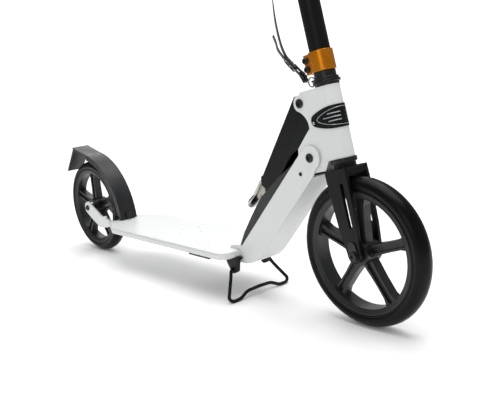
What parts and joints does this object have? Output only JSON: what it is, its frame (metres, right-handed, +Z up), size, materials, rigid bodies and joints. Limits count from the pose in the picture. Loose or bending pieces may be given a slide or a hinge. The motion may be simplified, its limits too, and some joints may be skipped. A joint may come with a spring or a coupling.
{
  "type": "folding kick scooter",
  "caption": "Folding two-wheel kick scooter: flat deck, raised neck with a brace and foot release, telescopic T handlebar, pressed rear fender brake and wire stand.",
  "frame": {"origin": "on the floor, at the middle of the scooter's length and width", "axes": "+X forward, +Y to the rider's left, +Z up"},
  "size_m": [1.0034, 0.46, 0.9471],
  "materials": {
    "white_paint": "gloss",
    "black_paint": "satin",
    "orange_anodised": "satin",
    "zinc_steel": "satin",
    "black_oxide_steel": "satin",
    "polished_aluminium": "polished",
    "bare_aluminium": "satin",
    "ivory_plastic": "gloss",
    "black_plastic": "matte",
    "polyurethane_tyre": "satin",
    "rubber_grip": "matte",
    "webbing": "woven"
  },
  "bodies": {
    "frame": {"deck": "white_paint", "dropout_left": "white_paint", "dropout_right": "white_paint", "neck": "white_paint", "neck_liner": "black_plastic", "fold_pin": "zinc_steel", "fold_pin_caps": "black_oxide_steel", "liner_screws": "black_oxide_steel", "keeper_pin": "black_oxide_steel", "rear_axle": "black_oxide_steel", "rear_axle_spacers": "black_oxide_steel", "fender_hinge_lugs": "black_oxide_steel", "fender_pin": "zinc_steel", "fender_spring": "zinc_steel", "stand_plate": "black_paint", "stand_lugs": "black_paint", "stand_bolts": "zinc_steel"},
    "head": {"head_bracket": "white_paint", "head_tube": "white_paint", "upper_cup": "black_oxide_steel", "lower_cup": "black_oxide_steel", "head_bearings": "zinc_steel", "badge": "black_paint", "badge_rivets": "zinc_steel", "brace_pin": "zinc_steel", "brace_pin_caps": "black_oxide_steel"},
    "brace": {"brace": "black_paint", "lever_pin": "black_oxide_steel", "lever_spring": "zinc_steel"},
    "release_lever": {"release_lever": "ivory_plastic", "foot_pedal": "polished_aluminium"},
    "steering": {"fork": "black_paint", "steerer": "zinc_steel", "front_axle": "black_oxide_steel", "axle_washers": "black_oxide_steel", "headset_collar": "black_oxide_steel", "column": "black_paint", "column_clamp": "orange_anodised", "clamp_bolts": "black_oxide_steel", "height_clamp": "orange_anodised", "height_clamp_skewer": "zinc_steel", "strap_rings": "zinc_steel", "strap_hooks": "black_plastic", "strap_slider": "black_plastic", "carry_strap": "webbing"},
    "height_clamp_lever": {"height_clamp_lever": "black_plastic"},
    "bar": {"stem_tube": "bare_aluminium", "tee": "black_paint", "handlebar": "black_paint", "grip_left": "rubber_grip", "grip_right": "rubber_grip"},
    "front_wheel": {"front_tyre": "polyurethane_tyre", "front_rim": "black_plastic", "front_bearings": "zinc_steel"},
    "rear_wheel": {"rear_tyre": "polyurethane_tyre", "rear_rim": "black_plastic", "rear_bearings": "zinc_steel"},
    "fender": {"fender": "black_plastic", "mud_flap": "black_plastic"},
    "kickstand": {"kickstand": "black_paint"}
  },
  "joints": [
    {"name": "fold", "type": "hinge", "parent": "frame", "child": "head", "pos_m": [0.3115, 0, 0.25661], "axis": [0, -1, 0], "range_deg": [0, 78]},
    {"name": "brace_swing", "type": "hinge", "parent": "head", "child": "brace", "pos_m": [0.29559, 0, 0.33766], "axis": [0, -1, 0], "range_deg": [-84.5, 0]},
    {"name": "release_press", "type": "hinge", "parent": "brace", "child": "release_lever", "pos_m": [0.18313, 0, 0.2111], "axis": [0, -1, 0], "range_deg": [0, 8], "stiffness_Nm_per_rad": 0.8, "springref_deg": -5.73},
    {"name": "steer", "type": "hinge", "parent": "head", "child": "steering", "pos_m": [0.34525, 0, 0.30043], "axis": [-0.2045, 0, 0.9789], "range_deg": [-50, 50]},
    {"name": "height_clamp_open", "type": "hinge", "parent": "steering", "child": "height_clamp_lever", "pos_m": [0.24566, 0.0145, 0.65557], "axis": [-0.2045, 0, 0.9789], "range_deg": [0, 120]},
    {"name": "bar_height", "type": "slide", "parent": "steering", "child": "bar", "axis": [-0.2045, 0, 0.9789], "range_m": [-0.08, 0.11]},
    {"name": "front_wheel_spin", "type": "hinge", "parent": "steering", "child": "front_wheel", "pos_m": [0.38675, 0, 0.115], "axis": [0, 1, 0], "continuous": true},
    {"name": "rear_wheel_spin", "type": "hinge", "parent": "frame", "child": "rear_wheel", "pos_m": [-0.39925, 0, 0.1025], "axis": [0, 1, 0], "continuous": true},
    {"name": "fender_brake", "type": "hinge", "parent": "frame", "child": "fender", "pos_m": [-0.28375, 0, 0.093], "axis": [0, -1, 0], "range_deg": [0, 4.1], "stiffness_Nm_per_rad": 12, "springref_deg": -5.73},
    {"name": "stand_fold", "type": "hinge", "parent": "frame", "child": "kickstand", "pos_m": [0.11947, 0, 0.052], "axis": [0, 1, 0], "range_deg": [0, 100]}
  ],
  "couplings": [
    {"joint": "brace_swing", "follows": "fold", "ratio": -1.08}
  ]
}
